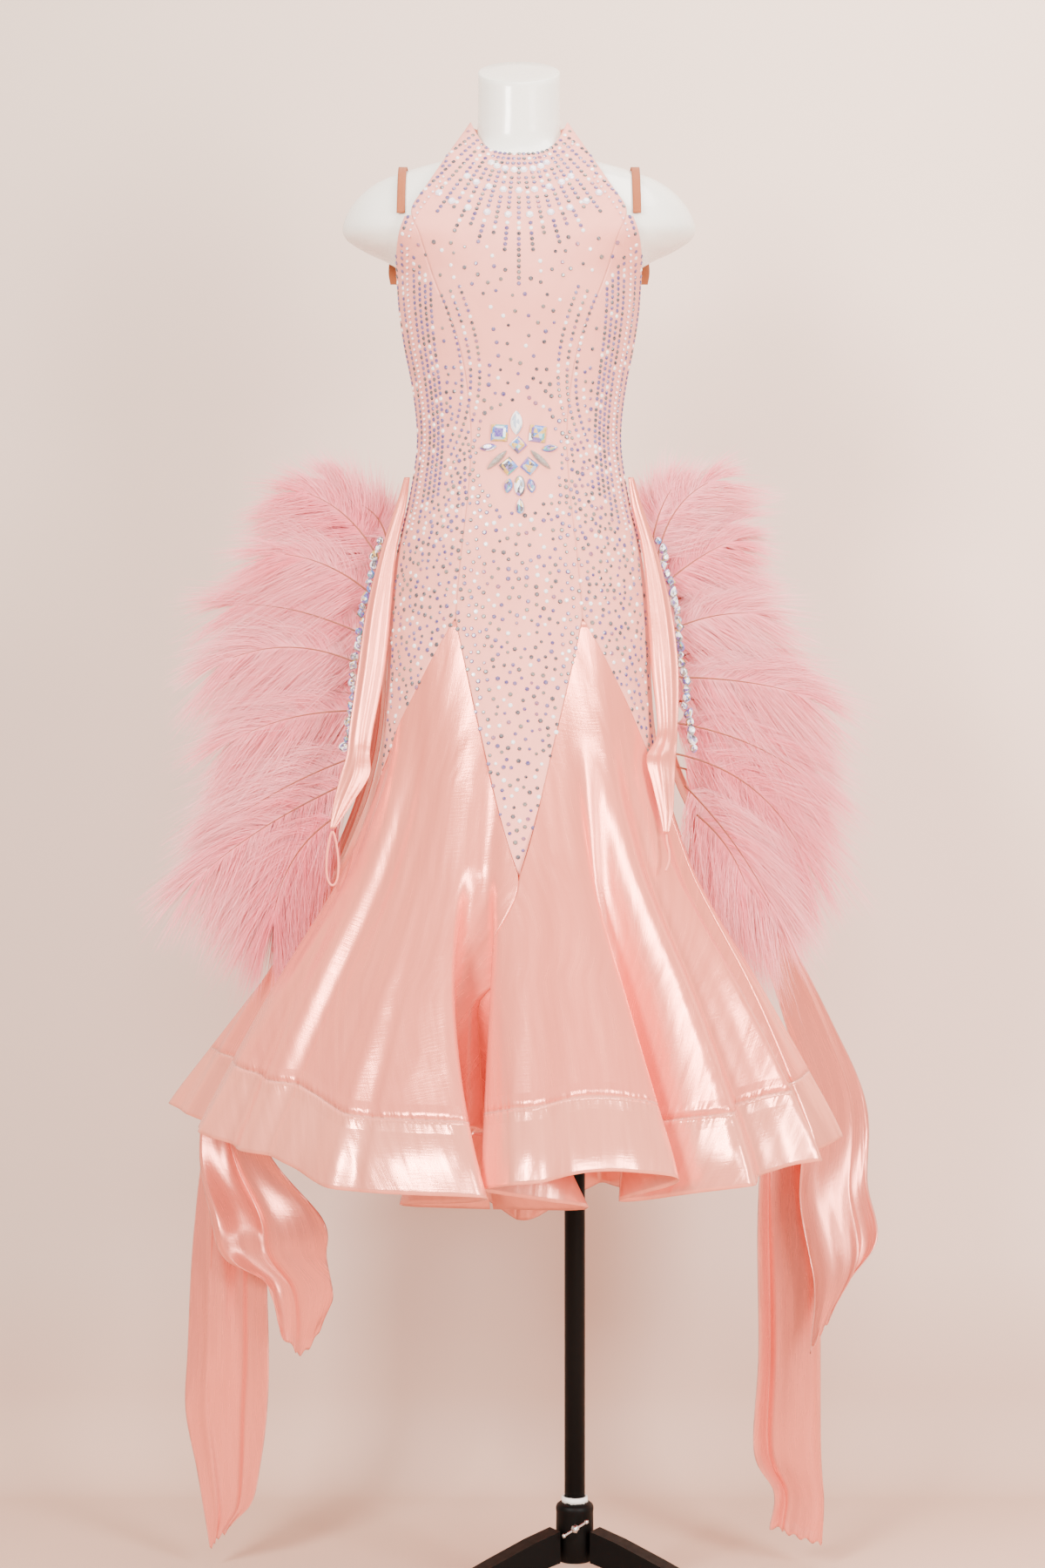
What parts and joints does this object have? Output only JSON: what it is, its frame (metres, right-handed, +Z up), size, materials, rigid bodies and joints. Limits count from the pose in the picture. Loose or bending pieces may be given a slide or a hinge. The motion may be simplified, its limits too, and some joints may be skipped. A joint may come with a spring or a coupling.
{
  "type": "ballroom dance dress on dress form stand",
  "caption": "Halter-neck ballroom dress with jewelled bodice, satin godet skirt, feather hip fans and hanging floats, on a limbless dress form with a tripod stand.",
  "frame": {"origin": "on the floor, under the middle of the whole part", "axes": "+Z up, +X to the right of someone facing the front, +Y to the back"},
  "size_m": [0.8481, 0.6858, 1.792],
  "materials": {
    "jersey": "matt stretch jersey",
    "satin": "glossy satin",
    "strap": "matt elastic",
    "feather": "soft",
    "crystal": "cut and foiled",
    "form_shell": "gloss",
    "black_steel": "satin black",
    "screw_steel": "polished",
    "packing": "matt tape"
  },
  "bodies": {
    "base": {"hub": "black_steel", "leg_back": "black_steel", "leg_left": "black_steel", "leg_right": "black_steel"},
    "clamp_screw": {"clamp_screw": "screw_steel"},
    "figure": {"back_panel": "jersey", "back_side_left": "jersey", "back_side_right": "jersey", "crystal_edge_left": "crystal", "crystal_edge_right": "crystal", "feather_fan_left": "feather", "feather_fan_right": "feather", "finger_loop": "satin", "float_left_panel": "satin", "float_left_tail": "satin", "float_right_panel": "satin", "float_right_tail": "satin", "form_fitting": "screw_steel", "form_torso": "form_shell", "front_panel": "jersey", "front_side_left": "jersey", "front_side_right": "jersey", "godet_back_left": "satin", "godet_back_right": "satin", "godet_front_left": "satin", "godet_front_right": "satin", "godet_side_left": "satin", "godet_side_right": "satin", "hem_band_back_left": "satin", "hem_band_back_right": "satin", "hem_band_front_left": "satin", "hem_band_front_right": "satin", "hem_band_side_left": "satin", "hem_band_side_right": "satin", "hip_band_left": "satin", "hip_band_right": "satin", "nape_hook": "screw_steel", "neck_band_left": "jersey", "neck_band_right": "jersey", "packing_tape": "packing", "pole": "black_steel", "stone_centre": "crystal", "stone_cushion_left": "crystal", "stone_cushion_right": "crystal", "stone_drop_left": "crystal", "stone_drop_middle": "crystal", "stone_drop_right": "crystal", "stone_end": "crystal", "stone_leaf_left": "crystal", "stone_leaf_right": "crystal", "stone_outer_left": "crystal", "stone_outer_right": "crystal", "stone_square_left": "crystal", "stone_square_right": "crystal", "stone_top": "crystal", "strap_left": "strap", "strap_right": "strap", "tie_end": "satin"}
  },
  "joints": [
    {"name": "clamp_turn", "type": "hinge", "parent": "base", "child": "clamp_screw", "pos_m": [0.064, -0.031, 0.103], "axis": [0, -1, 0], "range_deg": [0, 360]},
    {"name": "figure_swivel", "type": "hinge", "parent": "base", "child": "figure", "pos_m": [0.064, 0, 0.1], "axis": [0, 0, 1], "range_deg": [-180, 180]}
  ]
}
